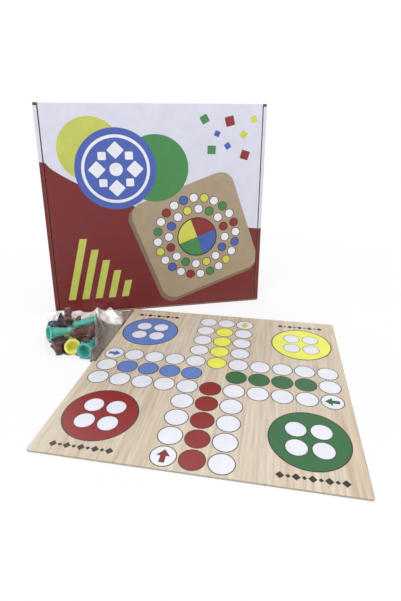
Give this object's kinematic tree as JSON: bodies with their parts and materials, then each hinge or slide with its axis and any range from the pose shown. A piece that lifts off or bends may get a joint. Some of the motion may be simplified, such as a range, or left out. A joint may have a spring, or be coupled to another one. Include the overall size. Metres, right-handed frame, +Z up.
{
  "type": "ludo board game set",
  "caption": "Upright folded card box with a lidded tray, a flat square game board in front of it, and a clear bag of pawns and a die beside the board.",
  "frame": {"origin": "centre of the game board's underside, on the table", "axes": "+Z up, X along the box's width, +Y from the board to the box"},
  "size_m": [0.306, 0.3395, 0.232],
  "materials": {
    "board_paper": "printed, matt",
    "board_core": "plain grey board",
    "carton": "printed, satin",
    "film": "clear, glossy",
    "pawn_red": "glossy",
    "pawn_yellow": "glossy",
    "pawn_green": "glossy",
    "pawn_blue": "glossy",
    "die": "glossy, pale pips"
  },
  "bodies": {
    "game_board": {"board_back_sheet": "board_paper", "board_core": "board_core", "board_face_sheet": "board_paper"},
    "box_lid": {"lid_panel": "carton"},
    "box_tray": {"box_hinge_wall": "carton", "box_front_wall": "carton", "box_back_panel": "carton", "left_outer_wall": "carton", "right_outer_wall": "carton", "left_rolled_edge": "carton", "right_rolled_edge": "carton", "left_inner_wall": "carton", "right_inner_wall": "carton", "lower_left_corner_flap": "carton", "lower_right_corner_flap": "carton", "upper_left_corner_flap": "carton", "upper_right_corner_flap": "carton"},
    "tuck_flap": {"lid_tuck_flap": "carton"},
    "left_ear": {"lid_left_ear": "carton"},
    "right_ear": {"lid_right_ear": "carton"},
    "bag": {"bag_lower_film": "film", "bag_upper_film": "film", "pawn_red_1": "pawn_red", "pawn_red_2": "pawn_red", "pawn_red_3": "pawn_red", "pawn_red_4": "pawn_red", "pawn_yellow_1": "pawn_yellow", "pawn_yellow_2": "pawn_yellow", "pawn_yellow_3": "pawn_yellow", "pawn_yellow_4": "pawn_yellow", "pawn_green_1": "pawn_green", "pawn_green_2": "pawn_green", "pawn_green_3": "pawn_green", "pawn_green_4": "pawn_green", "pawn_blue_1": "pawn_blue", "pawn_blue_2": "pawn_blue", "pawn_blue_3": "pawn_blue", "pawn_blue_4": "pawn_blue", "die": "die"}
  },
  "joints": [
    {"name": "box_lift", "type": "slide", "parent": "game_board", "child": "box_lid", "axis": [0, 0, 1], "range_m": [0, 0.3]},
    {"name": "lid_hinge", "type": "hinge", "parent": "box_lid", "child": "box_tray", "pos_m": [-0.031, 0.14982, 0.2314], "axis": [1, 0, 0], "range_deg": [0, 120]},
    {"name": "tuck_crease", "type": "hinge", "parent": "box_lid", "child": "tuck_flap", "pos_m": [-0.031, 0.15112, 0.0028], "axis": [1, 0, 0], "range_deg": [0, 80]},
    {"name": "left_ear_crease", "type": "hinge", "parent": "box_lid", "child": "left_ear", "pos_m": [-0.147, 0.15112, 0.1305], "axis": [0, 0, -1], "range_deg": [0, 80]},
    {"name": "right_ear_crease", "type": "hinge", "parent": "box_lid", "child": "right_ear", "pos_m": [0.085, 0.15112, 0.1305], "axis": [0, 0, 1], "range_deg": [0, 80]},
    {"name": "bag_lift", "type": "slide", "parent": "game_board", "child": "bag", "axis": [0, 0, 1], "range_m": [0, 0.3]}
  ]
}
